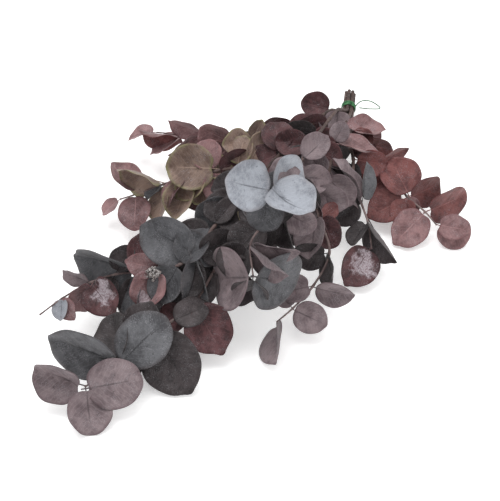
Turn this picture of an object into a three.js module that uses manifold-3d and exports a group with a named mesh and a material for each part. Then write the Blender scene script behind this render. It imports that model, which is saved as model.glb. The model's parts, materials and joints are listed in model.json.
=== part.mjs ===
// A tied bunch of preserved silver-dollar eucalyptus, lying on its side.
// Millimetres, +Z up. The cut ends are at +Y and the leafy tips point to -Y.
import * as THREE from "three";
import Module from "manifold-3d";

const wasm = await Module();
wasm.setup();
const { Manifold, Mesh: SolidMesh } = wasm;

// ---- Driving dimensions --------------------------------------------------------------------
const STEM_R = 2.6; // main stem at the cut end
const TWIG_R = 0.9; // stem at its growing tip
const STEM_SIDES = 5;
const STEM_STEP = 24; // length of stem between two sections
const LEAF_THICK = 0.6;
const STALK = 3.5; // length of a leaf's stalk, for a blade of STALK_BLADE
const STALK_BLADE = 50;
const STALK_HALF = 0.8;
const GAP = 0.3; // clear space between separate pieces
const CUT_END = new THREE.Vector3(-51, 388, 20); // middle of the bundle at the cut ends
const TIE = new THREE.Vector3(-38, 356, 20); // middle of the bundle at the tie
const BUNDLE_STEMS = 7; // stems in a ring round one more
const WIRE_R = 0.7;
const WIRE_TURNS = 4;
const WIRE_PITCH = 2.4;
const LOOP_REACH = 36; // how far the loose end of the wire stands off

// The side that the bunch is dressed to show: a quarter turn round to the front, and from above.
const SHOW_TURN = 30;
const SHOW_RISE = 45;

const rad = THREE.MathUtils.degToRad;
const vec = (x, y, z) => new THREE.Vector3(x, y, z);
const SHOW_RIGHT = vec(Math.cos(rad(SHOW_TURN)), Math.sin(rad(SHOW_TURN)), 0);
const SHOW_TOWARD = vec(
  Math.sin(rad(SHOW_TURN)) * Math.cos(rad(SHOW_RISE)),
  -Math.cos(rad(SHOW_TURN)) * Math.cos(rad(SHOW_RISE)),
  Math.sin(rad(SHOW_RISE)),
);
const SHOW_UP = SHOW_TOWARD.clone().cross(SHOW_RIGHT);

// ---- Colours -------------------------------------------------------------------------------
const DYES = {
  taupe: 0x857678,
  grey: 0x6a7074,
  dark: 0x3b3334,
  wine: 0x4a2a2d,
  rose: 0x8e6a6a,
  brick: 0x743f40,
  olive: 0x85775f,
  silver: 0xb4b7bd,
};

// ---- The bunch -----------------------------------------------------------------------------
// at() is a joint of a stem, with the leaves that spring from it. A leaf is its blade's length,
// the way it points on the show side (0 right, 90 up), how far its tip leans out of that side,
// how far the blade is turned about its midrib, and its dye. leaf() is a piece of its own;
// sprout() is a small or hidden leaf that stays one with its stem.
const at = (x, y, z, ...leaves) => ({ point: vec(x, y, z), leaves });
const leaf = (size, points, lean, twist, dye, shape = {}) =>
  ({ size, points, lean, twist, dye, own: true, fold: 14, curl: 12, ...shape });
const sprout = (size, points, lean, twist, dye, shape = {}) =>
  ({ size, points, lean, twist, dye, own: false, fold: 14, curl: 12, ...shape });

// Two small leaves on opposite sides of a joint.
const pair = (size, turn, dye) =>
  [sprout(size, turn, 5, 15, dye), sprout(size * 0.9, turn + 180, -5, -15, dye)];

const STEMS = {
  stem_centre: [
    at(-30, 300, 55, sprout(44, 262, 25, 0, "taupe")),
    at(-20, 250, 75, sprout(42, 200, 0, -30, "wine")),
    at(-10, 200, 90, sprout(46, 185, 0, -20, "dark"), sprout(40, 280, 0, 0, "wine")),
    at(0, 150, 105, sprout(44, 230, 0, 20, "dark"), sprout(42, 330, 0, 0, "wine"),
      sprout(40, 170, 0, 0, "wine")),
    at(10, 110, 115, ...pair(44, 225, "taupe")),
    at(20, 70, 125, sprout(46, 215, 0, 0, "grey"), sprout(44, 300, 0, 30, "dark"),
      sprout(40, 350, 0, 20, "taupe")),
    at(30, 10, 125, sprout(48, 235, 0, -10, "dark"), sprout(46, 330, 0, 30, "taupe"),
      sprout(46, 280, 0, 60, "dark")),
    at(30, -20, 125, ...pair(46, 225, "dark")),
    at(30, -50, 120, leaf(46, 345, 10, 60, "taupe"), sprout(50, 305, 20, 75, "taupe"),
      sprout(50, 235, -25, 20, "dark")),
    at(50, -80, 105, leaf(70, 185, -50, 0, "taupe"), leaf(66, 348, -42, 0, "grey"),
      sprout(48, 265, -65, 10, "dark")),
  ],
  stem_front: [
    at(-20, 250, 55),
    at(-20, 190, 65, ...pair(44, 210, "wine")),
    at(-10, 130, 70),
    at(-10, 70, 75, ...pair(46, 240, "dark")),
    at(-10, 10, 80, sprout(50, 250, 0, 40, "dark"), sprout(50, 300, 0, -30, "dark")),
    at(-10, -30, 75, ...pair(50, 225, "grey")),
    at(-10, -60, 70, sprout(54, 230, 0, 30, "dark"), sprout(52, 320, 0, 20, "dark"),
      sprout(46, 120, 10, 30, "grey")),
    at(-10, -110, 55, leaf(54, 300, 5, -10, "wine"), sprout(58, 115, -15, 0, "dark"),
      sprout(46, 215, 0, 30, "wine")),
    at(-20, -140, 50, ...pair(46, 205, "dark")),
    at(-30, -160, 50, leaf(70, 300, 0, 10, "dark"), sprout(50, 210, -20, 0, "dark")),
    at(-40, -180, 45, ...pair(46, 250, "dark")),
    at(-40, -210, 40, leaf(64, 45, 0, 0, "grey"), leaf(74, 165, 0, -40, "grey"),
      sprout(56, 110, -25, -20, "dark")),
    at(-60, -250, 30, leaf(58, 10, 5, 0, "taupe"), leaf(52, 165, 0, -25, "taupe"),
      leaf(46, 290, 15, -10, "taupe")),
  ],
  stem_front_left: [
    at(-40, 300, 50, leaf(34, 200, -20, 0, "taupe"), leaf(38, 165, 0, 0, "wine"),
      sprout(32, 290, 0, 30, "wine")),
    at(-40, 250, 65, sprout(40, 280, 15, 60, "taupe"), sprout(36, 200, 10, 20, "wine")),
    at(-30, 190, 80, sprout(48, 205, 0, -30, "wine"), sprout(40, 300, 0, 10, "dark")),
    at(-30, 130, 95, sprout(46, 200, 0, 20, "wine"), sprout(42, 100, -10, 0, "wine")),
    at(-30, 60, 100, sprout(46, 190, 0, 20, "dark")),
    at(-30, 30, 105, ...pair(46, 215, "dark")),
    at(-20, 10, 105, sprout(50, 200, 0, -20, "grey"), leaf(52, 300, 0, 75, "taupe"),
      sprout(44, 265, 0, 60, "olive"), sprout(40, 310, 10, 75, "grey")),
    at(-30, -30, 100, ...pair(50, 210, "dark"), ...pair(46, 250, "dark")),
    at(-30, -70, 90, leaf(60, 155, 10, -15, "grey"), leaf(50, 250, 10, 80, "grey"),
      sprout(50, 275, 10, 65, "grey"), sprout(46, 20, 0, 20, "dark")),
    at(-40, -90, 85, ...pair(46, 235, "grey")),
    at(-60, -100, 75, sprout(36, 165, 15, 0, "rose"), leaf(42, 240, 18, 10, "rose"),
      sprout(34, 275, 10, 50, "dark"), sprout(18, 205, 30, 40, "silver")),
    at(-90, -110, 65, leaf(68, 170, 0, -40, "grey"), leaf(48, 262, 5, 45, "grey"),
      sprout(50, 60, -10, 0, "wine"), sprout(58, 280, -20, 0, "dark")),
    at(-110, -120, 60, ...pair(38, 240, "dark")),
    at(-130, -140, 55, leaf(42, 310, 30, 0, "wine"), sprout(32, 170, 10, -50, "taupe"),
      leaf(36, 235, 20, 0, "rose")),
    at(-150, -170, 45, sprout(24, 265, 30, 20, "silver"), sprout(28, 300, 30, 20, "rose")),
    at(-160, -200, 40),
  ],
  stem_right: [
    at(-20, 320, 15, leaf(42, 330, 0, 30, "wine"), sprout(40, 352, -10, -50, "rose")),
    at(20, 260, 40, sprout(44, 350, 0, 40, "brick")),
    at(40, 240, 45, ...pair(38, 280, "brick")),
    at(60, 230, 45, leaf(40, 20, 0, 60, "brick"), leaf(42, 265, 10, 30, "brick")),
    at(90, 220, 40, sprout(40, 200, 0, 20, "brick")),
    at(120, 200, 35, leaf(48, 205, 0, 25, "brick"), leaf(52, 110, -20, 0, "brick"),
      sprout(46, 15, 0, 35, "brick"), sprout(22, 300, 20, 0, "rose"),
      sprout(38, 250, 20, 20, "brick")),
    at(150, 190, 30, leaf(50, 225, 10, 0, "rose"), leaf(56, 20, -10, 40, "brick")),
    at(170, 180, 25, sprout(36, 350, 20, 0, "rose"), leaf(46, 335, -10, 10, "rose")),
  ],
  stem_left: [
    at(-40, 250, 45, sprout(44, 215, 0, -20, "dark")),
    at(-50, 170, 75, sprout(50, 230, 0, -30, "wine"), sprout(44, 300, 0, 0, "dark")),
    at(-50, 130, 80, ...pair(44, 240, "wine")),
    at(-60, 100, 85, sprout(44, 60, -10, 30, "olive"), sprout(46, 250, 0, 0, "dark")),
    at(-70, 90, 85, ...pair(44, 260, "olive")),
    at(-90, 70, 85, leaf(56, 178, 10, 0, "olive"), sprout(46, 20, -10, 30, "wine"),
      sprout(36, 270, 15, 0, "rose"), sprout(44, 235, -5, 10, "olive"),
      sprout(42, 120, -15, 0, "rose")),
    at(-100, 60, 80, ...pair(40, 215, "olive")),
    at(-120, 50, 75, leaf(46, 250, 10, 20, "olive"), sprout(40, 225, 15, 60, "rose"),
      sprout(42, 300, 0, 10, "wine")),
    at(-150, 40, 60, leaf(54, 165, 10, -55, "olive"), sprout(46, 260, 10, 50, "olive"),
      sprout(28, 215, 0, 50, "grey")),
    at(-180, 20, 45, sprout(46, 125, 0, 45, "rose"), sprout(46, 268, 25, 10, "rose")),
    at(-200, 10, 35, sprout(28, 215, 0, 45, "rose")),
  ],
  stem_left_far: [
    at(-30, 290, 25),
    at(-60, 240, 45, leaf(60, 200, 0, -40, "wine"), sprout(48, 175, -10, -30, "wine"),
      sprout(44, 290, 10, 60, "dark")),
    at(-70, 180, 70, sprout(44, 190, 0, -30, "wine"), sprout(42, 240, 10, 0, "dark")),
    at(-80, 140, 85, leaf(46, 190, 50, 0, "olive"), sprout(34, 285, 20, 20, "rose"),
      sprout(30, 60, 10, 20, "olive"), sprout(40, 240, 0, 0, "wine")),
    at(-110, 140, 75, sprout(42, 160, 20, -35, "rose"), leaf(58, 235, 10, -30, "rose")),
    at(-160, 150, 65, sprout(44, 165, 10, -60, "rose"), leaf(46, 218, 10, -40, "rose")),
    at(-190, 150, 50, leaf(54, 188, 5, -65, "brick"), sprout(48, 210, 5, 60, "rose")),
    at(-230, 140, 45, sprout(38, 178, 5, 60, "rose", { curl: 45 })),
  ],
  stem_right_low: [
    at(0, 250, 65, leaf(50, 2, 0, -50, "rose"), sprout(42, 260, 10, 10, "dark")),
    at(10, 200, 80, leaf(50, 352, 0, -60, "rose"), sprout(28, 60, 10, 0, "taupe"),
      sprout(40, 250, 0, 30, "dark")),
    at(30, 150, 90, leaf(56, 315, 0, 78, "taupe"), sprout(44, 280, 0, 30, "dark")),
    at(40, 120, 95, ...pair(42, 310, "taupe")),
    at(40, 80, 105, leaf(38, 265, 10, 0, "taupe"), sprout(42, 280, 0, 65, "taupe"),
      sprout(42, 330, 0, 30, "taupe")),
    at(60, 60, 85, leaf(48, 255, 5, 45, "taupe"), sprout(42, 225, 0, -10, "dark"),
      leaf(38, 290, 10, 30, "wine"), sprout(24, 30, 0, 20, "brick")),
    at(90, 30, 65, sprout(42, 190, -5, -20, "dark"), sprout(40, 265, 20, 75, "dark")),
    at(90, -10, 45, leaf(42, 345, 10, 40, "taupe"), sprout(36, 190, 0, 20, "taupe")),
    at(80, -40, 30, leaf(38, 335, 15, 0, "taupe"), sprout(30, 130, 0, 30, "taupe")),
    at(70, -60, 20, sprout(54, 270, 42, 60, "taupe", { curl: -10 })),
  ],
  stem_right_droop: [
    at(10, 250, 50, sprout(40, 330, 0, 0, "wine")),
    at(40, 200, 65, sprout(42, 350, 0, 20, "brick"), sprout(44, 250, 0, 20, "dark")),
    at(60, 160, 65, sprout(50, 165, 0, -50, "taupe"), sprout(42, 240, 0, 0, "dark")),
    at(80, 140, 55, leaf(56, 135, 10, 78, "taupe"), leaf(44, 80, 0, 60, "grey"),
      sprout(40, 215, 0, 0, "dark")),
    at(100, 120, 45, leaf(56, 295, 30, 70, "dark"), sprout(34, 225, 20, 50, "dark")),
    at(120, 90, 35, leaf(48, 235, 15, -10, "wine")),
  ],
};

// A second growing tip of the centre stem, which carries the topmost leaves.
const TOP_TWIG = [
  at(20, 70, 125),
  at(30, 30, 150),
  at(30, -10, 165, leaf(50, 170, 35, 0, "silver"), leaf(50, 335, 30, -35, "silver"),
    leaf(50, 35, -30, 30, "silver"), sprout(50, 15, -30, -10, "taupe"),
    sprout(42, 260, -10, 0, "grey")),
];

// ---- Solids --------------------------------------------------------------------------------
// A closed solid through a row of sections, each a closed ring of the same number of points. The
// whole of a ring has to be in sight from its point number `hub`, for its end faces.
function loft(rings, hub = 0) {
  const n = rings[0].length;
  const points = rings.flat();
  const faces = [];
  for (let i = 0; i + 1 < rings.length; i++) {
    for (let j = 0; j < n; j++) {
      const a = i * n + j;
      const b = i * n + ((j + 1) % n);
      faces.push(a, b, b + n, a, b + n, a + n);
    }
  }
  const end = (rings.length - 1) * n;
  for (let j = 1; j + 1 < n; j++) {
    const [b, c] = [(hub + j) % n, (hub + j + 1) % n];
    faces.push(hub, c, b, end + hub, end + b, end + c);
  }
  const build = (tri) => new Manifold(new SolidMesh({
    numProp: 3,
    vertProperties: new Float32Array(points.flatMap((p) => p.toArray())),
    triVerts: new Uint32Array(tri),
  }));
  const solid = build(faces);
  return solid.volume() > 0 ? solid : build(faces.reverse());
}

// A round rod along a curve: a section at each of the places, with its own radius.
function rod(curve, places, radiusAt, sides) {
  let side = vec(0, 0, 1);
  return loft(places.map((t) => {
    const along = curve.getTangent(t);
    side = side.clone().addScaledVector(along, -side.dot(along)).normalize();
    const across = along.clone().cross(side);
    return Array.from({ length: sides }, (_, k) => {
      const a = (2 * Math.PI * k) / sides;
      return curve.getPoint(t)
        .addScaledVector(side, radiusAt(t) * Math.cos(a))
        .addScaledVector(across, radiusAt(t) * Math.sin(a));
    });
  }));
}

// Places along a curve: at each of its points, and in between wherever they are far apart.
function placesOn(curve, step) {
  const spans = curve.points.length - 1;
  const places = [0];
  for (let i = 0; i < spans; i++) {
    const parts = Math.ceil(curve.points[i].distanceTo(curve.points[i + 1]) / step);
    for (let k = 1; k <= parts; k++) places.push((i + k / parts) / spans);
  }
  return places;
}

// The blade's half width as a part of its length: round, a little fuller near the stalk.
const bladeHalf = (u) => Math.sqrt(Math.max(u * (1 - u), 0)) * (1.06 - 0.12 * u);
const BLADE_ROWS = [0.06, 0.27, 0.6, 0.87, 0.98];
const UNDER_MIDRIB = 4; // the corner of a leaf's section that is under its midrib

// A leaf's axes: along the midrib, out of the upper face, and across.
function leafAxes({ points, lean, twist }) {
  const along = SHOW_RIGHT.clone().multiplyScalar(Math.cos(rad(points)) * Math.cos(rad(lean)))
    .addScaledVector(SHOW_UP, Math.sin(rad(points)) * Math.cos(rad(lean)))
    .addScaledVector(SHOW_TOWARD, Math.sin(rad(lean)));
  const face = SHOW_TOWARD.clone().addScaledVector(along, -SHOW_TOWARD.dot(along)).normalize()
    .applyAxisAngle(along, rad(twist));
  return { along, face, across: face.clone().cross(along) };
}

// A curling plate on a short stalk, folded along its midrib if it is a piece of its own.
// `swell` thickens it, to keep its neighbours clear.
function leafSolid(spec, base, swell = 0) {
  const { along, face, across } = leafAxes(spec);
  const { size, fold, curl } = spec;
  const stalk = (STALK * size) / STALK_BLADE;
  const half = LEAF_THICK / 2 + swell;
  const rows = [[-stalk, STALK_HALF], [0, STALK_HALF],
    ...BLADE_ROWS.map((u) => [u * size, bladeHalf(u) * size])];
  let centre = base.clone();
  let from = -stalk;
  const rings = rows.map(([s, halfWidth]) => {
    const bend = (-rad(curl) * Math.max(s, 0)) / size;
    const ahead = along.clone().multiplyScalar(Math.cos(bend)).addScaledVector(face, Math.sin(bend));
    const out = face.clone().multiplyScalar(Math.cos(bend)).addScaledVector(along, -Math.sin(bend));
    centre = centre.clone().addScaledVector(ahead, s - from);
    from = s;
    const corner = (y, z) => centre.clone()
      .addScaledVector(across, y * (halfWidth + swell) * Math.cos(rad(fold)))
      .addScaledVector(out, Math.abs(y) * halfWidth * Math.sin(rad(fold)) + z * half);
    const ring = [corner(1, 1), corner(0, 1), corner(-1, 1), corner(-1, -1), corner(0, -1), corner(1, -1)];
    return spec.own ? ring : ring.filter((_, k) => k % 3 !== 1);
  });
  return loft(rings, spec.own ? UNDER_MIDRIB : 0);
}

// Where a leaf's stalk meets its stem: beside the stem, on the side that the leaf goes to.
function leafBase(spec, joint, tangent, offset) {
  const { along } = leafAxes(spec);
  const aside = along.clone().addScaledVector(tangent, -along.dot(tangent));
  return joint.clone().addScaledVector(aside.normalize(), offset);
}

// ---- Stems and the leaves that are one with them ---------------------------------------------
const bundleAxis = CUT_END.clone().sub(TIE).normalize();
const bundleSide = bundleAxis.clone().cross(vec(0, 0, 1)).normalize();
const bundleUp = bundleSide.clone().cross(bundleAxis);
const RING_R = (2 * STEM_R + GAP) / (2 * Math.sin(Math.PI / BUNDLE_STEMS));

// The place of a stem in the bundle: the first is in the middle, the others go round it in the
// order of the sides that they leave to.
function bundleOffset(slot) {
  if (slot === 0) return vec(0, 0, 0);
  const a = (2 * Math.PI * (slot - 1)) / BUNDLE_STEMS;
  return bundleSide.clone().multiplyScalar(RING_R * Math.cos(a))
    .addScaledVector(bundleUp, RING_R * Math.sin(a));
}
const SLOTS = {
  stem_front: 0, stem_right_droop: 1, stem_right_low: 2, stem_centre: 3,
  stem_front_left: 4, stem_left: 5, stem_left_far: 6, stem_right: 7,
};

function stemCurve(name, joints) {
  const offset = bundleOffset(SLOTS[name]);
  const past = TIE.clone().addScaledVector(bundleAxis, -14);
  const bundle = [CUT_END, TIE, past].map((p) => p.clone().add(offset));
  return new THREE.CatmullRomCurve3([...bundle, ...joints.map((j) => j.point)], false, "centripetal");
}

const taper = (t, thick) => THREE.MathUtils.lerp(thick, TWIG_R, Math.pow(t, 1.5));

const placed = []; // { name, solid, dye, grown: the solid with a clear gap round it }
const separate = []; // leaves that are pieces of their own, still to be placed
const joined = []; // leaves that stay one with their stem

function growLimb(name, curve, joints, thick) {
  const first = curve.points.length - joints.length;
  joints.forEach((joint, i) => {
    const t = (first + i) / (curve.points.length - 1);
    const seat = { name, joint: joint.point, tangent: curve.getTangent(t), radius: taper(t, thick) };
    for (const spec of joint.leaves) (spec.own ? separate : joined).push({ ...seat, spec });
  });
  const places = placesOn(curve, STEM_STEP);
  return [0, GAP].map((swell) => rod(curve, places, (t) => taper(t, thick) + swell, STEM_SIDES));
}

for (const [name, joints] of Object.entries(STEMS)) {
  let [solid, grown] = growLimb(name, stemCurve(name, joints), joints, STEM_R);
  if (name === "stem_centre") {
    const twig = new THREE.CatmullRomCurve3(TOP_TWIG.map((j) => j.point), false, "centripetal");
    const [second, secondGrown] = growLimb(name, twig, TOP_TWIG, 1.7);
    solid = solid.add(second);
    grown = grown.add(secondGrown);
  }
  placed.push({ name, solid, grown, dye: "stem" });
}

// ---- The wire tie ----------------------------------------------------------------------------
// A few turns round the bundle, and an end that stands off in one open loop and comes back.
{
  const coilR = RING_R + STEM_R + WIRE_R + GAP;
  const points = [];
  const perTurn = 14;
  for (let i = 0; i <= WIRE_TURNS * perTurn; i++) {
    const a = (2 * Math.PI * i) / perTurn;
    points.push(TIE.clone()
      .addScaledVector(bundleAxis, (i / perTurn - WIRE_TURNS / 2) * WIRE_PITCH)
      .addScaledVector(bundleSide, coilR * Math.cos(a))
      .addScaledVector(bundleUp, coilR * Math.sin(a)));
  }
  const start = points.at(-1);
  const off = (out, along, up) => start.clone().addScaledVector(bundleSide, out * LOOP_REACH)
    .addScaledVector(bundleAxis, along).addScaledVector(bundleUp, up);
  points.push(off(0.2, 4, 7), off(0.6, 3, 9), off(1, -5, 4), off(0.6, -6, 2), off(0.16, -4, 1));
  const wire = new THREE.CatmullRomCurve3(points, false, "centripetal");
  const [solid, grown] = [0, GAP].map((swell) => rod(wire, placesOn(wire, 12), () => WIRE_R + swell, 4));
  placed.push({ name: "tie_wire", solid, grown, dye: "wire" });
}

// ---- Leaves that are pieces of their own -----------------------------------------------------
const LOW_COST = 50; // how much a millimetre below the table counts against a leaf
const TOUCH = 1e-6; // an overlap smaller than this is none

const boxesMeet = (a, b) => [0, 1, 2].every((k) => a.min[k] < b.max[k] && b.min[k] < a.max[k]);

function clash(solid, limit) {
  const box = solid.boundingBox();
  let volume = Math.max(0, -box.min[2]) * LOW_COST;
  for (const other of placed) {
    if (volume > limit) break;
    if (boxesMeet(box, other.box)) volume += solid.intersect(other.solid).volume();
  }
  return volume;
}

// The separate parts of a solid, largest first.
const partsOf = (solid) => solid.decompose().sort((a, b) => b.volume() - a.volume());

// The parts that are left of a leaf when a clear gap is cut round its neighbours.
function trim(solid, skip) {
  let cut = solid;
  for (const other of placed) {
    if (other.name === skip || cut.isEmpty()) continue;
    if (boxesMeet(cut.boundingBox(), other.box)) cut = cut.subtract(other.grown);
  }
  return partsOf(cut);
}

// Small changes of attitude that let a leaf slip past its neighbours, the smallest first.
const TRIES = [];
for (const twist of [0, -10, 10, -20, 20, -30, 30]) {
  for (const lean of [0, -8, 8, -16, 16]) {
    for (const points of [0, -8, 8, -16, 16]) {
      for (const size of [1, 0.92, 0.84, 0.76]) {
        const cost = Math.abs(twist) + 1.3 * Math.abs(lean) + 1.6 * Math.abs(points) + 120 * (1 - size);
        TRIES.push({ twist, lean, points, size, cost });
      }
    }
  }
}
TRIES.sort((a, b) => a.cost - b.cost);

function settle({ spec, joint, tangent, radius }) {
  let best = { volume: Infinity };
  for (const change of TRIES) {
    const tried = {
      ...spec,
      size: spec.size * change.size,
      points: spec.points + change.points,
      lean: spec.lean + change.lean,
      twist: spec.twist + change.twist,
    };
    const base = leafBase(tried, joint, tangent, radius + 2 * GAP + STALK_HALF);
    const volume = clash(leafSolid(tried, base, GAP), best.volume);
    if (volume < best.volume) best = { volume, tried, base };
    if (volume < TOUCH) break;
  }
  return best;
}

for (const piece of placed) piece.box = piece.grown.boundingBox();

const counts = {};
for (const seat of separate) {
  const { tried, base, volume } = settle(seat);
  const side = seat.name.replace("stem_", "");
  counts[side] = (counts[side] ?? 0) + 1;
  const name = `leaf_${side}_${counts[side]}`;
  const whole = leafSolid(tried, base);
  const grown = leafSolid(tried, base, GAP);
  const solid = volume < TOUCH ? whole : trim(whole, name)[0];
  placed.push({ name, solid, grown, box: grown.boundingBox(), dye: seat.spec.dye });
}

// ---- Leaves that stay one with their stem ----------------------------------------------------
// On a stem, faces smaller than this are merged into their neighbours. The first size is used
// that leaves no two edges lying on each other.
const FINEST = [0.05, 0.06, 0.04, 0.08, 0.03, 0.1, 0.02, 0];
const WELD = 1000; // vertices closer than a thousandth of a millimetre count as one

function isClean(solid) {
  const { vertProperties, triVerts, numProp } = solid.getMesh();
  const place = (i) => [0, 1, 2].map((k) => Math.round(vertProperties[i * numProp + k] * WELD)).join();
  const edges = new Set();
  for (let i = 0; i < triVerts.length; i++) {
    const from = place(triVerts[i]);
    const to = place(triVerts[i % 3 === 2 ? i - 2 : i + 1]);
    if (from === to || edges.has(`${from} ${to}`)) return false;
    edges.add(`${from} ${to}`);
  }
  return true;
}

function finish(exact, dye) {
  if (dye !== "stem" && isClean(exact)) return exact;
  const tried = FINEST.map((size) => partsOf(exact.asOriginal().simplify(size))[0]);
  return tried.find(isClean) ?? tried[0];
}

// Turns of a leaf that keep two surfaces from meeting along an edge.
const NUDGES = [0, 3, -3, 6, -6, 9, -9];

for (const { name, spec, joint, tangent, radius } of joined) {
  const stem = placed.find((piece) => piece.name === name);
  for (const nudge of NUDGES) {
    const turned = { ...spec, points: spec.points + nudge };
    const base = leafBase(turned, joint, tangent, radius * 0.3);
    const whole = leafSolid(turned, base);
    const parts = trim(whole, name).filter((part) => part.intersect(stem.solid).volume() > TOUCH);
    if (parts.length === 0) continue;
    const solid = stem.solid.add(Manifold.union(parts));
    if (!isClean(finish(solid, "stem"))) continue;
    stem.solid = solid;
    stem.grown = stem.grown.add(leafSolid(turned, base, GAP));
    stem.box = stem.grown.boundingBox();
    break;
  }
}

// ---- The scene graph -------------------------------------------------------------------------
const FINISH = {
  stem: { color: 0x4a3a34, roughness: 0.8, metalness: 0 },
  wire: { color: 0x2f7a45, roughness: 0.5, metalness: 0 },
};
for (const [dye, color] of Object.entries(DYES)) FINISH[dye] = { color, roughness: 0.7, metalness: 0 };

function toMesh({ name, solid: exact, dye }) {
  const solid = finish(exact, dye);
  const { vertProperties, triVerts, numProp } = solid.getMesh();
  const geometry = new THREE.BufferGeometry();
  const positions = new Float32Array((vertProperties.length / numProp) * 3);
  for (let i = 0; i < positions.length / 3; i++) {
    for (let k = 0; k < 3; k++) positions[3 * i + k] = vertProperties[i * numProp + k];
  }
  geometry.setAttribute("position", new THREE.BufferAttribute(positions, 3));
  geometry.setIndex(new THREE.BufferAttribute(new Uint32Array(triVerts), 1));
  geometry.computeVertexNormals();
  const mesh = new THREE.Mesh(geometry, new THREE.MeshStandardMaterial(FINISH[dye]));
  mesh.name = name;
  return mesh;
}

const bunch = new THREE.Group();
bunch.name = "eucalyptus_bunch";
for (const piece of placed) bunch.add(toMesh(piece));

// The origin is under the middle of the bunch, on the table.
const bounds = new THREE.Box3().setFromObject(bunch);
const middle = bounds.getCenter(vec(0, 0, 0));
for (const mesh of bunch.children) mesh.geometry.translate(-middle.x, -middle.y, -bounds.min.z);

export default bunch;
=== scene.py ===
import json
import math
import random

import bmesh
import bpy
import numpy as np
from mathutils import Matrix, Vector, noise


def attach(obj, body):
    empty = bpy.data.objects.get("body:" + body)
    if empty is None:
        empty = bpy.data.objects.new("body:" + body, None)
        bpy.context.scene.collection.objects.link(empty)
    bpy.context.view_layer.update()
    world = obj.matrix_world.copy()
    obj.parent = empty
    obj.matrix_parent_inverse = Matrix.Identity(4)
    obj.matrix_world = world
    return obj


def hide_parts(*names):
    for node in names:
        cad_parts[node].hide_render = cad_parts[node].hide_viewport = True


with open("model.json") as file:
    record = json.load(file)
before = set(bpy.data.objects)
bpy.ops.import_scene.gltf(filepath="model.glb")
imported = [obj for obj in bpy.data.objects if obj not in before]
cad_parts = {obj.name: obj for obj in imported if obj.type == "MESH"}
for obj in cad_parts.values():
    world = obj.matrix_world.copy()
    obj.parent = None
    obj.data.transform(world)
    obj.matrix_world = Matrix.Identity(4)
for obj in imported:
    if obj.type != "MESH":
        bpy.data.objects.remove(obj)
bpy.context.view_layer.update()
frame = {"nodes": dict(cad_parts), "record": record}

MM = 0.001

# ---- Driving dimensions, in millimetres -----------------------------------------------------
STEM_R = 2.6  # main stem at the cut end
TWIG_R = 0.9  # stem at its growing tip
TOP_TWIG_R = 1.7
STALK = 3.5  # length of a leaf's stalk, for a blade of STALK_BLADE
STALK_BLADE = 50
STALK_R = 0.75
LEAF_THICK = 0.45
CUT_END = Vector((-51, 388, 20))  # middle of the bundle at the cut ends
TIE = Vector((-38, 356, 20))  # middle of the bundle at the tie
BUNDLE_STEMS = 7
GAP = 0.3
WIRE_R = 0.7
WIRE_TURNS = 4
WIRE_PITCH = 2.4
LOOP_REACH = 36

# The side that the bunch is dressed to show: a quarter turn round to the front, and from above.
SHOW_TURN = math.radians(30)
SHOW_RISE = math.radians(45)
SHOW_RIGHT = Vector((math.cos(SHOW_TURN), math.sin(SHOW_TURN), 0))
SHOW_TOWARD = Vector((
    math.sin(SHOW_TURN) * math.cos(SHOW_RISE),
    -math.cos(SHOW_TURN) * math.cos(SHOW_RISE),
    math.sin(SHOW_RISE),
))
SHOW_UP = SHOW_TOWARD.cross(SHOW_RIGHT)

CAMERA_DISTANCE = 1.10  # metres
LENS = 66
SENSOR = 36
AIM_HEIGHT = 50  # the camera looks at this height above the table

# ---- Driving dimensions of the looks, in millimetres ----------------------------------------
TABLE_CLEAR = 0.7  # a leaf that would dip below this height is pressed flat against the table
PRESSED = 0.08  # the share of the dip that is left after that
NECK = 1.4  # how far a stalk runs on into its stem
MIDRIB_REACH = 0.55  # the midrib's end on the underside, in blade lengths
LEAST_CURL = 0.5  # degrees: a flatter leaf is taken as this one
KNUCKLE = 0.35  # how much thicker a stem is at a joint
WIRE_COAT = 1.15  # the coated wire's radius, in radii of the bare one
BUDS_BELOW = 20  # a silver tuft smaller than this is a cluster of dried buds
BUD_COUNT = 90

# ---- Table and light ------------------------------------------------------------------------
TABLE_SIDE = 60.0  # metres; its far edge still shows in low views
TABLE_GLOW = 0.3  # the table gives off a little light, which softens the shadows on it
SKY_LIGHT = 0.85
KEY_WATTS = 30
FILL_WATTS = 7


def node_points(node):
    world = node.matrix_world
    return np.array([tuple(world @ v.co) for v in node.data.vertices]) / MM


# From the layout's own origin to the frame's, by the cut face of the bundle's middle stem.
bundle_axis = (CUT_END - TIE).normalized()
middle_stem = node_points(frame["nodes"]["stem_front"])
reach = middle_stem @ np.array(bundle_axis)
TO_TABLE = Vector(middle_stem[reach > reach.max() - 0.1].mean(0)) - CUT_END
CAMERA_TARGET = Vector((0, 0, AIM_HEIGHT)) + TO_TABLE


# ---- The layout: stems, joint by joint, with the small leaves that are one with them ----------
def at(x, y, z, *leaves):
    return Vector((x, y, z)), leaves


def sprout(size, points, lean, twist, dye, fold=10, curl=12):
    return dict(size=size, points=points, lean=lean, twist=twist, dye=dye, fold=fold, curl=curl)


def pair(size, turn, dye):
    """Two small leaves on opposite sides of a joint."""
    return sprout(size, turn, 5, 15, dye), sprout(size * 0.9, turn + 180, -5, -15, dye)


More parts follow.
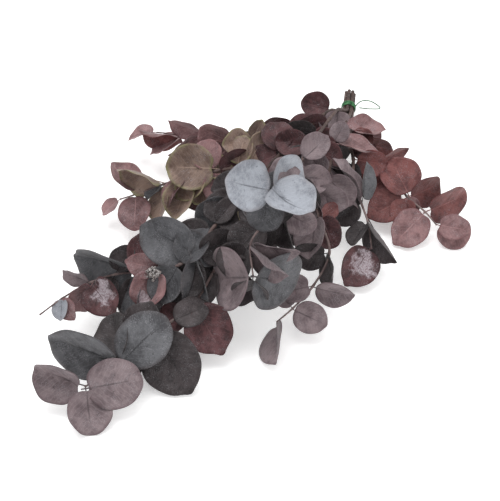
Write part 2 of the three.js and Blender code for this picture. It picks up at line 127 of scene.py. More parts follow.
STEMS = {
    "stem_centre": [
        at(-30, 300, 55, sprout(44, 262, 25, 0, "taupe")),
        at(-20, 250, 75, sprout(42, 200, 0, -30, "wine")),
        at(-10, 200, 90, sprout(46, 185, 0, -20, "dark"), sprout(40, 280, 0, 0, "wine")),
        at(0, 150, 105, sprout(44, 230, 0, 20, "dark"), sprout(42, 330, 0, 0, "wine"),
           sprout(40, 170, 0, 0, "wine")),
        at(10, 110, 115, *pair(44, 225, "taupe")),
        at(20, 70, 125, sprout(46, 215, 0, 0, "grey"), sprout(44, 300, 0, 30, "dark"),
           sprout(40, 350, 0, 20, "taupe")),
        at(30, 10, 125, sprout(48, 235, 0, -10, "dark"), sprout(46, 330, 0, 30, "taupe"),
           sprout(46, 280, 0, 60, "dark")),
        at(30, -20, 125, *pair(46, 225, "dark")),
        at(30, -50, 120, sprout(50, 305, 20, 75, "taupe"), sprout(50, 235, -25, 20, "dark")),
        at(50, -80, 105, sprout(48, 265, -65, 10, "dark")),
    ],
    "stem_front": [
        at(-20, 250, 55),
        at(-20, 190, 65, *pair(44, 210, "wine")),
        at(-10, 130, 70),
        at(-10, 70, 75, *pair(46, 240, "dark")),
        at(-10, 10, 80, sprout(50, 250, 0, 40, "dark"), sprout(50, 300, 0, -30, "dark")),
        at(-10, -30, 75, *pair(50, 225, "grey")),
        at(-10, -60, 70, sprout(54, 230, 0, 30, "dark"), sprout(52, 320, 0, 20, "dark"),
           sprout(46, 120, 10, 30, "grey")),
        at(-10, -110, 55, sprout(58, 115, -15, 0, "dark"), sprout(46, 215, 0, 30, "wine")),
        at(-20, -140, 50, *pair(46, 205, "dark")),
        at(-30, -160, 50, sprout(50, 210, -20, 0, "dark")),
        at(-40, -180, 45, *pair(46, 250, "dark")),
        at(-40, -210, 40, sprout(56, 110, -25, -20, "dark")),
        at(-60, -250, 30),
    ],
    "stem_front_left": [
        at(-40, 300, 50, sprout(32, 290, 0, 30, "wine")),
        at(-40, 250, 65, sprout(40, 280, 15, 60, "taupe"), sprout(36, 200, 10, 20, "wine")),
        at(-30, 190, 80, sprout(48, 205, 0, -30, "wine"), sprout(40, 300, 0, 10, "dark")),
        at(-30, 130, 95, sprout(46, 200, 0, 20, "wine"), sprout(42, 100, -10, 0, "wine")),
        at(-30, 60, 100, sprout(46, 190, 0, 20, "dark")),
        at(-30, 30, 105, *pair(46, 215, "dark")),
        at(-20, 10, 105, sprout(50, 200, 0, -20, "grey"), sprout(44, 265, 0, 60, "olive"),
           sprout(40, 310, 10, 75, "grey")),
        at(-30, -30, 100, *pair(50, 210, "dark"), *pair(46, 250, "dark")),
        at(-30, -70, 90, sprout(50, 275, 10, 65, "grey"), sprout(46, 20, 0, 20, "dark")),
        at(-40, -90, 85, *pair(46, 235, "grey")),
        at(-60, -100, 75, sprout(36, 165, 15, 0, "rose"), sprout(34, 275, 10, 50, "dark"),
           sprout(18, 205, 30, 40, "silver")),
        at(-90, -110, 65, sprout(50, 60, -10, 0, "wine"), sprout(58, 280, -20, 0, "dark")),
        at(-110, -120, 60, *pair(38, 240, "dark")),
        at(-130, -140, 55, sprout(32, 170, 10, -50, "taupe")),
        at(-150, -170, 45, sprout(24, 265, 30, 20, "silver"), sprout(28, 300, 30, 20, "rose")),
        at(-160, -200, 40),
    ],
    "stem_right": [
        at(-20, 320, 15, sprout(40, 352, -10, -50, "rose")),
        at(20, 260, 40, sprout(44, 350, 0, 40, "brick")),
        at(40, 240, 45, *pair(38, 280, "brick")),
        at(60, 230, 45),
        at(90, 220, 40, sprout(40, 200, 0, 20, "brick")),
        at(120, 200, 35, sprout(46, 15, 0, 35, "brick"), sprout(22, 300, 20, 0, "rose"),
           sprout(38, 250, 20, 20, "brick")),
        at(150, 190, 30),
        at(170, 180, 25, sprout(36, 350, 20, 0, "rose")),
    ],
    "stem_left": [
        at(-40, 250, 45, sprout(44, 215, 0, -20, "dark")),
        at(-50, 170, 75, sprout(50, 230, 0, -30, "wine"), sprout(44, 300, 0, 0, "dark")),
        at(-50, 130, 80, *pair(44, 240, "wine")),
        at(-60, 100, 85, sprout(44, 60, -10, 30, "olive"), sprout(46, 250, 0, 0, "dark")),
        at(-70, 90, 85, *pair(44, 260, "olive")),
        at(-90, 70, 85, sprout(46, 20, -10, 30, "wine"), sprout(36, 270, 15, 0, "rose"),
           sprout(44, 235, -5, 10, "olive"), sprout(42, 120, -15, 0, "rose")),
        at(-100, 60, 80, *pair(40, 215, "olive")),
        at(-120, 50, 75, sprout(40, 225, 15, 60, "rose"), sprout(42, 300, 0, 10, "wine")),
        at(-150, 40, 60, sprout(46, 260, 10, 50, "olive"), sprout(28, 215, 0, 50, "grey")),
        at(-180, 20, 45, sprout(46, 125, 0, 45, "rose"), sprout(46, 268, 25, 10, "rose")),
        at(-200, 10, 35, sprout(28, 215, 0, 45, "rose")),
    ],
    "stem_left_far": [
        at(-30, 290, 25),
        at(-60, 240, 45, sprout(48, 175, -10, -30, "wine"), sprout(44, 290, 10, 60, "dark")),
        at(-70, 180, 70, sprout(44, 190, 0, -30, "wine"), sprout(42, 240, 10, 0, "dark")),
        at(-80, 140, 85, sprout(34, 285, 20, 20, "rose"), sprout(30, 60, 10, 20, "olive"),
           sprout(40, 240, 0, 0, "wine")),
        at(-110, 140, 75, sprout(42, 160, 20, -35, "rose")),
        at(-160, 150, 65, sprout(44, 165, 10, -60, "rose")),
        at(-190, 150, 50, sprout(48, 210, 5, 60, "rose")),
        at(-230, 140, 45, sprout(38, 178, 5, 60, "rose", curl=45)),
    ],
    "stem_right_low": [
        at(0, 250, 65, sprout(42, 260, 10, 10, "dark")),
        at(10, 200, 80, sprout(28, 60, 10, 0, "taupe"), sprout(40, 250, 0, 30, "dark")),
        at(30, 150, 90, sprout(44, 280, 0, 30, "dark")),
        at(40, 120, 95, *pair(42, 310, "taupe")),
        at(40, 80, 105, sprout(42, 280, 0, 65, "taupe"), sprout(42, 330, 0, 30, "taupe")),
        at(60, 60, 85, sprout(42, 225, 0, -10, "dark"), sprout(24, 30, 0, 20, "brick")),
        at(90, 30, 65, sprout(42, 190, -5, -20, "dark"), sprout(40, 265, 20, 75, "dark")),
        at(90, -10, 45, sprout(36, 190, 0, 20, "taupe")),
        at(80, -40, 30, sprout(30, 130, 0, 30, "taupe")),
        at(70, -60, 20, sprout(54, 270, 42, 60, "taupe", curl=-10)),
    ],
    "stem_right_droop": [
        at(10, 250, 50, sprout(40, 330, 0, 0, "wine")),
        at(40, 200, 65, sprout(42, 350, 0, 20, "brick"), sprout(44, 250, 0, 20, "dark")),
        at(60, 160, 65, sprout(50, 165, 0, -50, "taupe"), sprout(42, 240, 0, 0, "dark")),
        at(80, 140, 55, sprout(40, 215, 0, 0, "dark")),
        at(100, 120, 45, sprout(34, 225, 20, 50, "dark")),
        at(120, 90, 35),
    ],
}

# A second growing tip of the centre stem, which carries the topmost leaves.
TOP_TWIG = [
    at(20, 70, 125),
    at(30, 30, 150),
    at(30, -10, 165, sprout(50, 15, -30, -10, "taupe"), sprout(42, 260, -10, 0, "grey")),
]

SLOTS = {
    "stem_front": 0, "stem_right_droop": 1, "stem_right_low": 2, "stem_centre": 3,
    "stem_front_left": 4, "stem_left": 5, "stem_left_far": 6, "stem_right": 7,
}

# ---- Colours (linear): each dye has four, and how much dusty bloom lies on it -------------------
def srgb(r, g, b):
    return tuple(((c / 255 + 0.055) / 1.055) ** 2.4 if c > 10 else c / 255 / 12.92 for c in (r, g, b))


#        body                 mottling             rim                  underside            bloom
DYES = {
    "taupe": (srgb(136, 122, 124), srgb(96, 83, 86), srgb(100, 82, 86), srgb(114, 102, 104), 0.22),
    "grey": (srgb(91, 92, 95), srgb(58, 58, 61), srgb(68, 63, 65), srgb(84, 82, 84), 0.24),
    "dark": (srgb(69, 62, 63), srgb(37, 31, 32), srgb(40, 32, 33), srgb(69, 61, 63), 0.18),
    "wine": (srgb(90, 57, 59), srgb(48, 28, 30), srgb(66, 32, 35), srgb(84, 63, 64), 0.18),
    "rose": (srgb(142, 110, 110), srgb(98, 70, 71), srgb(116, 76, 78), srgb(126, 102, 102), 0.33),
    "brick": (srgb(122, 74, 71), srgb(76, 40, 40), srgb(94, 45, 45), srgb(110, 78, 77), 0.22),
    "olive": (srgb(143, 122, 109), srgb(105, 85, 76), srgb(130, 130, 86), srgb(124, 108, 95), 0.25),
    "silver": (srgb(158, 163, 170), srgb(118, 122, 129), srgb(142, 140, 145), srgb(126, 125, 130), 0.4),
}
VEIN_LIFT = 1.5  # how much lighter than the blade a pale midrib is
CREASED = ("grey", "taupe", "dark", "silver")  # dyes on which the midrib is a dark crease


# ---- Node materials -----------------------------------------------------------------------------
class Nodes:
    """A material's node tree, with short calls for the nodes used here."""

    def __init__(self, name):
        self.material = bpy.data.materials.new(name)
        self.material.use_nodes = True
        self.tree = self.material.node_tree
        self.bsdf = self.tree.nodes["Principled BSDF"]
        self.place = self.add("ShaderNodeTexCoord").outputs["Object"]

    def add(self, kind, **settings):
        node = self.tree.nodes.new(kind)
        for key, value in settings.items():
            setattr(node, key, value)
        return node

    def link(self, source, socket):
        if hasattr(source, "links"):
            self.tree.links.new(source, socket)
        else:
            socket.default_value = source

    def math(self, operation, a, b=0.0):
        node = self.add("ShaderNodeMath", operation=operation)
        self.link(a, node.inputs[0])
        self.link(b, node.inputs[1])
        return node.outputs[0]

    def noise(self, scale, detail=3.0, roughness=0.6, distortion=0.0):
        node = self.add("ShaderNodeTexNoise")
        self.link(self.place, node.inputs["Vector"])
        node.inputs["Scale"].default_value = scale
        node.inputs["Detail"].default_value = detail
        node.inputs["Roughness"].default_value = roughness
        node.inputs["Distortion"].default_value = distortion
        return node.outputs["Fac"]

    def cells(self, scale):
        node = self.add("ShaderNodeTexVoronoi", feature="DISTANCE_TO_EDGE")
        self.link(self.place, node.inputs["Vector"])
        node.inputs["Scale"].default_value = scale
        return node.outputs["Distance"]

    def ramp(self, value, low, high):
        """0 below low, 1 above high, smooth in between."""
        node = self.add("ShaderNodeMapRange", interpolation_type="SMOOTHSTEP", clamp=True)
        self.link(value, node.inputs["Value"])
        node.inputs["From Min"].default_value = low
        node.inputs["From Max"].default_value = high
        return node.outputs["Result"]

    def mix(self, amount, a, b, blend="MIX"):
        node = self.add("ShaderNodeMix", data_type="RGBA", blend_type=blend)
        self.link(amount, node.inputs["Factor"])
        for value, socket in ((a, node.inputs[6]), (b, node.inputs[7])):
            if isinstance(value, tuple):
                value = (*value, 1.0)
            self.link(value, socket)
        return node.outputs[2]

    def attribute(self, name):
        return self.add("ShaderNodeAttribute", attribute_name=name, attribute_type="GEOMETRY")

    def finish(self, colour, roughness, height, bump=0.3, depth=0.0004):
        self.link(colour, self.bsdf.inputs["Base Color"])
        self.link(roughness, self.bsdf.inputs["Roughness"])
        node = self.add("ShaderNodeBump")
        node.inputs["Strength"].default_value = bump
        node.inputs["Distance"].default_value = depth
        self.link(height, node.inputs["Height"])
        self.link(node.outputs["Normal"], self.bsdf.inputs["Normal"])
        return self.material


def leaf_material(dye):
    """A waxy leaf: a mottled blade with a midrib, fine veins, a tinted rim and dusty bloom."""
    body, second, rim, under, bloom = DYES[dye]
    n = Nodes(f"leaf_{dye}")
    split = n.add("ShaderNodeSeparateXYZ")
    n.link(n.attribute("blade").outputs["Vector"], split.inputs[0])
    along, across, out = split.outputs
    tone = n.attribute("tone").outputs["Fac"]  # 0 to 1, one value for each leaf
    upper = n.attribute("upper").outputs["Fac"]  # 1 on the upper face, 0 on the lower
    side = n.math("ABSOLUTE", across)

    blotches = n.ramp(n.noise(46, 5, 0.7), 0.38, 0.66)
    grain = n.noise(900, 3, 0.75)
    colour = n.mix(blotches, body, second)
    colour = n.mix(n.math("SUBTRACT", 1.0, upper), colour, n.mix(blotches, under, second))
    # One leaf is paler or darker than the next.
    colour = n.mix(1.0, colour, n.mix(tone, (0.72, 0.7, 0.71), (1.2, 1.18, 1.19)), "MULTIPLY")

    # Side veins run forward from the midrib, and a fine net fills in between them.
    wander = n.math("MULTIPLY", n.noise(90, 2), 0.16)
    course = n.math("ADD", n.math("SUBTRACT", along, n.math("MULTIPLY", side, 0.85)), wander)
    stripe = n.math("ABSOLUTE", n.math("SUBTRACT", n.math("FRACT", n.math("MULTIPLY", course, 9.0)), 0.5))
    side_vein = n.math("SUBTRACT", 1.0, n.ramp(stripe, 0.0, 0.16))
    net = n.math("SUBTRACT", 1.0, n.ramp(n.cells(330), 0.0, 0.09))
    midrib = n.math("MULTIPLY", n.math("SUBTRACT", 1.0, n.ramp(side, 0.004, 0.022)),
                    n.math("SUBTRACT", 1.0, n.ramp(along, 0.45, 0.95)))
    pale = tuple(min(1.0, c * VEIN_LIFT + 0.02) for c in body)
    rib = tuple(c * 0.5 for c in second) if dye in CREASED else pale
    colour = n.mix(n.math("MULTIPLY", side_vein, 0.21), colour, pale)
    colour = n.mix(n.math("MULTIPLY", net, 0.14), colour, second)
    colour = n.mix(n.math("MULTIPLY", midrib, 0.65), colour, rib)
    # Painted shade: the blade darkens softly towards its stalk.
    shade = n.math("MULTIPLY", n.ramp(along, 0.45, 0.0), 0.35)
    colour = n.mix(shade, colour, second)

    # The rim is tinted, unevenly, and the bloom lies in dusty patches of fine specks.
    edge = n.math("MULTIPLY", n.ramp(out, 0.8, 1.0), n.ramp(n.noise(60, 2), 0.3, 0.62))
    colour = n.mix(n.math("MULTIPLY", edge, 0.7), colour, rim)
    dust = n.math("MULTIPLY", n.ramp(grain, 0.48, 0.62), n.ramp(n.noise(75, 4, 0.75), 0.4, 0.66))
    # Dust is rubbed off the side veins and lies in streaks beside them.
    dust = n.math("MULTIPLY", dust, n.math("ADD", 0.55, n.math("MULTIPLY", n.ramp(stripe, 0.1, 0.4), 0.45)))
    colour = n.mix(n.math("MULTIPLY", dust, bloom), colour, srgb(205, 204, 210))
    # On a few leaves the bloom has dried to a white, crackled patch.
    ragged = n.math("MULTIPLY", n.math("SUBTRACT", n.noise(85, 5, 0.7), 0.5), 2.2)
    patch = n.ramp(n.math("ADD", n.attribute("patch").outputs["Fac"], ragged), 0.4, 0.8)
    patch = n.math("MULTIPLY", patch, n.ramp(n.attribute("patch").outputs["Fac"], 0.0, 0.3))
    crackle = n.mix(n.ramp(n.noise(520, 4, 0.8), 0.4, 0.6), srgb(196, 188, 194), srgb(142, 124, 130))
    colour = n.mix(n.math("MULTIPLY", patch, 0.78), colour, crackle)
    # A few brown specks where the leaf has dried.
    spots = n.math("MULTIPLY", n.ramp(n.noise(260, 2), 0.66, 0.72), 0.5)
    colour = n.mix(spots, colour, tuple(c * 0.45 for c in second))

    height = n.math("ADD", n.math("MULTIPLY", side_vein, 0.35), n.math("MULTIPLY", midrib, 1.2))
    height = n.math("ADD", height, n.math("MULTIPLY", net, 0.15))
    height = n.math("ADD", height, n.math("MULTIPLY", grain, 0.4))
    rough = n.math("ADD", 0.5, n.math("MULTIPLY", n.noise(120, 3), 0.22))
    n.bsdf.inputs["Sheen Weight"].default_value = 0.15
    n.bsdf.inputs["Sheen Roughness"].default_value = 0.45
    n.bsdf.inputs["Specular IOR Level"].default_value = 0.32
    return n.finish(colour, rough, height, bump=0.6)


def stem_material():
    """Bark that is brown at the cut end and pales to a dusty twig, with a pale cut face."""
    n = Nodes("stem_bark")
    along = n.attribute("along").outputs["Fac"]
    cut = n.attribute("cut").outputs["Fac"]
    streaks = n.noise(260, 4, 0.7, distortion=0.6)
    patches = n.ramp(n.noise(60, 3), 0.35, 0.7)
    bark = n.mix(patches, srgb(82, 62, 57), srgb(48, 35, 33))
    twig = n.mix(patches, srgb(128, 110, 108), srgb(84, 68, 68))
    colour = n.mix(n.ramp(along, 0.35, 0.95), bark, twig)
    dust = n.math("MULTIPLY", n.ramp(streaks, 0.54, 0.7), 0.3)
    colour = n.mix(dust, colour, srgb(176, 166, 162))
    colour = n.mix(n.ramp(cut, 0.35, 0.9), colour, n.mix(n.noise(900), srgb(150, 118, 88), srgb(104, 76, 56)))
    rough = n.math("ADD", 0.62, n.math("MULTIPLY", streaks, 0.25))
    return n.finish(colour, rough, streaks, bump=0.6, depth=0.0005)


def wire_material():
    """Green florist's wire with a thin coat, rubbed paler in places."""
    n = Nodes("wire_green")
    rubbed = n.ramp(n.noise(180, 3), 0.45, 0.7)
    colour = n.mix(rubbed, srgb(28, 92, 50), srgb(84, 150, 94))
    colour = n.mix(n.ramp(n.noise(420, 2), 0.55, 0.65), colour, srgb(20, 54, 34))
    rough = n.math("ADD", 0.32, n.math("MULTIPLY", rubbed, 0.25))
    return n.finish(colour, rough, n.noise(700), bump=0.25, depth=0.0002)


def table_material():
    """A pale, even table top that glows a little: painted light that softens the shadows on it."""
    n = Nodes("table")
    shade = n.noise(3, 2)
    colour = n.mix(n.math("MULTIPLY", shade, 0.04), srgb(252, 252, 252), srgb(246, 246, 247))
    # Painted light: the table glows though it is no lamp, which softens the shadows on it.
    n.bsdf.inputs["Emission Color"].default_value = (1.0, 1.0, 1.0, 1.0)
    n.bsdf.inputs["Emission Strength"].default_value = TABLE_GLOW
    return n.finish(colour, 0.85, shade, bump=0.0)


def bud_material():
    """Dried buds: grey-brown crusts with a whitish, powdery top."""
    n = Nodes("bud_crust")
    powder = n.ramp(n.noise(700, 4, 0.8), 0.42, 0.62)
    colour = n.mix(n.ramp(n.noise(240, 3), 0.35, 0.65), srgb(96, 84, 80), srgb(52, 42, 40))
    colour = n.mix(powder, colour, srgb(206, 202, 200))
    return n.finish(colour, 0.85, n.noise(900, 4, 0.8), bump=0.8)


BUD_MATERIAL = bud_material()
LEAF_MATERIALS = {dye: leaf_material(dye) for dye in DYES}
STEM_MATERIAL = stem_material()
WIRE_MATERIAL = wire_material()


# ---- Meshes ---------------------------------------------------------------------------------------
def add_mesh(name, points_mm, faces, material, attributes):
    mesh = bpy.data.meshes.new(name)
    mesh.from_pydata([tuple(p) for p in np.asarray(points_mm) * MM], [], faces)
    mesh.polygons.foreach_set("use_smooth", [True] * len(mesh.polygons))
    for key, values in attributes.items():
        values = np.asarray(values, dtype=float)
        kind = "FLOAT_VECTOR" if values.ndim == 2 else "FLOAT"
        layer = mesh.attributes.new(key, kind, "POINT")
        layer.data.foreach_set("vector" if values.ndim == 2 else "value", values.ravel())
    mesh.materials.append(material)
    mesh.update()
    piece = bpy.data.objects.new(name, mesh)
    bpy.context.collection.objects.link(piece)
    return piece


def tube(centres, radii, sides):
    """Points and faces of a capped tube along a row of centres."""
    centres = [Vector(c) for c in centres]
    count = len(centres)
    side = Vector((0, 0, 1))
    points, faces = [], []
    for i, centre in enumerate(centres):
        ahead = (centres[min(i + 1, count - 1)] - centres[max(i - 1, 0)]).normalized()
        side = side - ahead * side.dot(ahead)
        side = side.normalized() if side.length > 1e-4 else ahead.orthogonal().normalized()
        across = ahead.cross(side)
        for k in range(sides):
            a = 2 * math.pi * k / sides
            points.append(centre + (side * math.cos(a) + across * math.sin(a)) * radii[i])
    for i in range(count - 1):
        for k in range(sides):
            a, b = i * sides + k, i * sides + (k + 1) % sides
            faces.append((a, b, b + sides, a + sides))
    first, last = len(points), len(points) + 1
    points += [centres[0], centres[-1]]
    end = (count - 1) * sides
    for k in range(sides):
        faces.append((first, (k + 1) % sides, k))
        faces.append((last, end + k, end + (k + 1) % sides))
    return points, faces


# ---- Leaves -----------------------------------------------------------------------------------------
AROUND = 56  # points round the blade's rim
RINGS = 9  # rings from its middle to the rim


def bend_of(curl):
    """A blade's curl in radians, never quite flat."""
    return math.radians(curl if abs(curl) > LEAST_CURL else LEAST_CURL)


def blade(size, fold, curl, rng, cup=0.05, wave=0.02, notch=0.1, tip=0.04, wide=1.0):
    """The blade as (along, across, out of the face) in millimetres, and where each point is on it."""
    turn = np.arange(AROUND) * 2 * math.pi / AROUND
    rings = (np.arange(1, RINGS + 1) / RINGS) ** 0.85
    ring, angle = np.meshgrid(rings, turn, indexing="ij")
    phase = [rng.uniform(0, 2 * math.pi) for _ in range(4)]
    from_base = (angle + math.pi) % (2 * math.pi) - math.pi
    from_tip = angle - math.pi
    rim = 1 - notch * np.exp(-(from_base / 0.24) ** 2) + tip * np.exp(-(from_tip / 0.2) ** 2)
    rim = rim + 0.012 * np.sin(3 * angle + phase[0]) + 0.008 * np.sin(7 * angle + phase[1])
    x = 0.5 - 0.5 * ring * rim * np.cos(angle)
    y = 0.5 * wide * ring * rim * np.sin(angle) * (1.06 - 0.12 * x)
    x = np.append(x.ravel(), 0.5)
    y = np.append(y.ravel(), 0.0)
    out = np.append(ring.ravel(), 0.0)
    angles = np.append(angle.ravel(), 0.0)
    crease = np.sqrt(y * y + 0.0002) - math.sqrt(0.0002)
    z = math.tan(math.radians(fold)) * crease
    z = z + cup * (out ** 2 - 0.5)
    z = z + wave * out ** 3 * (np.sin(3 * angles + phase[2]) + 0.5 * np.sin(6 * angles + phase[3]))
    z = z + 0.004 * np.sin(34 * (x - 0.85 * np.abs(y)) + phase[0]) * (1 - out ** 2)
    bend = bend_of(curl)
    points = np.stack([
        np.sin(bend * x) / bend + z * np.sin(bend * x),
        y,
        -(1 - np.cos(bend * x)) / bend + z * np.cos(bend * x),
    ], axis=1) * size
    return points, np.stack([x, y, out], axis=1)


def blade_faces():
    middle = RINGS * AROUND
    faces = [(middle, j, (j + 1) % AROUND) for j in range(AROUND)]
    for k in range(RINGS - 1):
        for j in range(AROUND):
            a, b = k * AROUND + j, k * AROUND + (j + 1) % AROUND
            faces.append((a, a + AROUND, b + AROUND, b))
    return faces


BLADE_FACES = blade_faces()


def press(points):
    """Flattens what would sink into the table against it."""
    low = points[:, 2] < TABLE_CLEAR
    points[low, 2] = TABLE_CLEAR + PRESSED * (points[low, 2] - TABLE_CLEAR)
    return points


def leaf(name, base, axes, size, dye, replaced, seed, fold=14, curl=12, patch=None, **shape):
    """A thin blade with its stalk, which runs on under the blade as the midrib. `patch` is the
    middle and the reach of a white patch, as (along, across, reach) in blade lengths."""
    rng = random.Random(seed)
    along, across, face = axes
    shape.setdefault("cup", rng.uniform(0.0, 0.14))
    shape.setdefault("wave", rng.uniform(0.01, 0.045))
    shape.setdefault("notch", rng.uniform(0.02, 0.16))
    shape.setdefault("tip", rng.uniform(0.0, 0.16))
    shape.setdefault("wide", rng.uniform(0.8, 1.0))
    local, where = blade(size, fold, curl, rng, **shape)
    half = LEAF_THICK / 2
    count = len(local)
    shell = np.concatenate([local + [0, 0, half], local - [0, 0, half]])
    faces = [tuple(reversed(f)) for f in BLADE_FACES] + [tuple(i + count for i in f) for f in BLADE_FACES]
    rim = (RINGS - 1) * AROUND
    for j in range(AROUND):
        a, b = rim + j, rim + (j + 1) % AROUND
        faces.append((a, b, b + count, a + count))
    where = np.concatenate([where, where])
    upper = np.concatenate([np.ones(count), np.zeros(count)])

    stalk = STALK * size / STALK_BLADE
    bend = bend_of(curl)
    sink = -0.5 * LEAF_THICK / size
    route, radii = [], []
    for s in np.linspace(-(stalk + NECK) / size, MIDRIB_REACH, 14):
        ahead = max(s, 0.0)
        x = math.sin(bend * ahead) / bend if s > 0 else s
        z = -(1 - math.cos(bend * ahead)) / bend
        x_under = (x + sink * math.sin(bend * ahead)) * size
        z_under = (z + sink * math.cos(bend * ahead)) * size - 0.02 * size * shape["cup"]
        route.append((x_under, 0, z_under))
        radii.append(STALK_R * (1 - 0.85 * ahead / MIDRIB_REACH) * (size / STALK_BLADE) ** 0.5)
    rib_points, rib_faces = tube(route, radii, 6)
    start = len(shell)
    faces += [tuple(i + start for i in f) for f in rib_faces]
    shell = np.concatenate([shell, np.array([tuple(p) for p in rib_points])])
    where = np.concatenate([where, np.tile([0.05, 0.0, 0.2], (len(rib_points), 1))])
    upper = np.concatenate([upper, np.full(len(rib_points), 0.5)])

    turn = np.array([tuple(along), tuple(across), tuple(face)])
    points = press(shell @ turn + np.array(tuple(base)))
    tone = np.full(len(points), rng.uniform(0.1, 0.9))
    white = np.zeros(len(points))
    if patch:
        white = np.clip(1.2 - np.hypot(where[:, 0] - patch[0], where[:, 1] - patch[1]) / patch[2], 0, 1)
    piece = add_mesh(name, points, faces, LEAF_MATERIALS[dye],
                     {"blade": where, "upper": upper, "tone": tone, "patch": white})
    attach(piece, "root")
    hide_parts(replaced)
    return piece


def cad_leaf_pose(node):
    """Where a CAD leaf is: its blade's base, its axes and its size, from the CAD solid itself."""
    points = np.unique(np.round(node_points(node), 2), axis=0)
    # Corners crowd only on the stalk, which has one section at its heel and one at the blade.
    apart = np.linalg.norm(points[:, None] - points[None], axis=2)
    stalk = points[(apart < 2.0).sum(1) >= 5]
    middle = (points.min(0) + points.max(0)) / 2
    reach = np.linalg.norm(stalk - middle, axis=1)
    order = reach.argsort()
    heel = stalk[order[-6:]].mean(0)
    base = stalk[order[-12:-6]].mean(0)
    along = (base - heel) / np.linalg.norm(base - heel)
    offset = points - base
    flat = offset - np.outer(offset @ along, along)
    # The widest place of the blade lies square across its midrib.
    gaps = np.linalg.norm(flat[:, None] - flat[None], axis=2)
    left, right = np.unravel_index(gaps.argmax(), gaps.shape)
    across = flat[left] - flat[right]
    across = across / np.linalg.norm(across)
    face = np.cross(along, across)
    # The blade is folded up on both sides of its midrib, which tells its two faces apart.
    side = np.abs(offset @ across)
    lift = (offset[side > 0.6 * side.max()] @ face).mean() - (offset[side < 0.15 * side.max()] @ face).mean()
    if lift < 0:
        face, across = -face, -across
    size = max((offset @ along).max() / 0.97, gaps.max() / 0.94)
    # The thin blade starts a little further down the stalk than the thick CAD one.
    back = 0.8 * np.linalg.norm(base - heel)
    return Vector(base - along * back), (Vector(along), Vector(across), Vector(face)), size + back


def show_axes(points, lean, twist):
    """Axes of a leaf from the way it points on the show side, its lean and its twist."""
    a, b = math.radians(points), math.radians(lean)
    along = (SHOW_RIGHT * math.cos(a) + SHOW_UP * math.sin(a)) * math.cos(b) + SHOW_TOWARD * math.sin(b)
    face = (SHOW_TOWARD - along * SHOW_TOWARD.dot(along)).normalized()
    across = face.cross(along)
    c, s = math.cos(math.radians(twist)), math.sin(math.radians(twist))
    face, across = face * c - across * s, across * c + face * s
    return along, across, face


# Leaves with a look of their own: more folded, curled or crumpled than the rest.
LOOKS = {
    "leaf_centre_1": dict(fold=26, wide=0.66, tip=0.14),
    "leaf_centre_2": dict(fold=16, tip=0.04, cup=0.06, wave=0.008, wide=1.05, notch=0.02),
    "leaf_centre_3": dict(fold=5, wave=0.008, tip=0.02, notch=0.04, cup=0.03, wide=1.05),
    "leaf_centre_4": dict(fold=8, cup=0.14, wave=0.02, tip=0.04, notch=0.03, wide=1.06),
    "leaf_centre_5": dict(fold=14, cup=0.2, wave=0.03, tip=0.1, notch=0.03, wide=1.06),
    "leaf_centre_6": dict(fold=8, cup=0.14, wave=0.03, tip=0.0, notch=0.03, wide=1.06),
    "leaf_front_2": dict(fold=8, wave=0.02, cup=0.1, notch=0.04),
    "leaf_front_3": dict(fold=6, wave=0.01, cup=0.03, notch=0.03, tip=0.03),
    "leaf_front_4": dict(fold=12, wave=0.012, tip=0.08),
    "leaf_front_5": dict(fold=3, wave=0.01, cup=0.02, notch=0.12, tip=0.0),
    "leaf_front_6": dict(fold=26, wave=0.02, notch=0.14, tip=0.0),
    "leaf_front_7": dict(fold=10, wave=0.06, cup=0.12, tip=0.0),
    "leaf_front_left_3": dict(fold=30, wide=0.7, tip=0.14),
    "leaf_front_left_4": dict(fold=14, cup=0.14, tip=0.08, wave=0.012),
    "leaf_front_left_5": dict(fold=30, wide=0.62, tip=0.2),
    "leaf_front_left_6": dict(fold=26, cup=0.2, wave=0.08, curl=30, wide=0.86, patch=(0.8, 0.0, 0.3)),
    "leaf_front_left_7": dict(fold=30, tip=0.18, wave=0.015, notch=0.02),
    "leaf_front_left_9": dict(wave=0.06, fold=20, curl=25, patch=(0.4, 0.1, 0.42)),
    "leaf_front_left_10": dict(wave=0.06, fold=24, curl=30, wide=0.8),
    "leaf_left_1": dict(wave=0.055, cup=0.08, notch=0.14, tip=0.06),
    "leaf_left_2": dict(wave=0.04, fold=20, wide=0.82, tip=0.12),
    "leaf_left_3": dict(wave=0.05, fold=26, wide=0.8, tip=0.03),
    "leaf_left_far_3": dict(wave=0.03, fold=10, wide=1.0),
    "leaf_left_far_4": dict(wave=0.05, fold=34, wide=0.62, tip=0.2),
    "leaf_left_far_5": dict(wave=0.05, fold=34, curl=30, tip=0.2, wide=0.6),
    "leaf_right_low_3": dict(fold=30, wide=0.66, tip=0.18),
    "leaf_right_low_7": dict(fold=20, wide=0.8, tip=0.1),
    "leaf_right_low_8": dict(fold=8, wide=0.92, tip=0.06),
    "leaf_right_droop_1": dict(fold=30, wide=0.66, tip=0.18),
    "leaf_right_droop_3": dict(fold=34, wide=0.7, tip=0.2),
    "leaf_right_droop_4": dict(fold=16, tip=0.16, wave=0.02, wide=0.95, patch=(0.4, 0.08, 0.46)),
}


def grow_cad_leaves():
    slots = {part["node"]: part["material_slot"] for part in frame["record"]["subparts"]}
    for index, name in enumerate(sorted(n for n in frame["nodes"] if n.startswith("leaf_"))):
        base, axes, size = cad_leaf_pose(frame["nodes"][name])
        look = dict(fold=14, curl=12)
        look.update(LOOKS.get(name, {}))
        leaf(f"{name}_blade", base, axes, size, slots[name], name, seed=100 + index, **look)


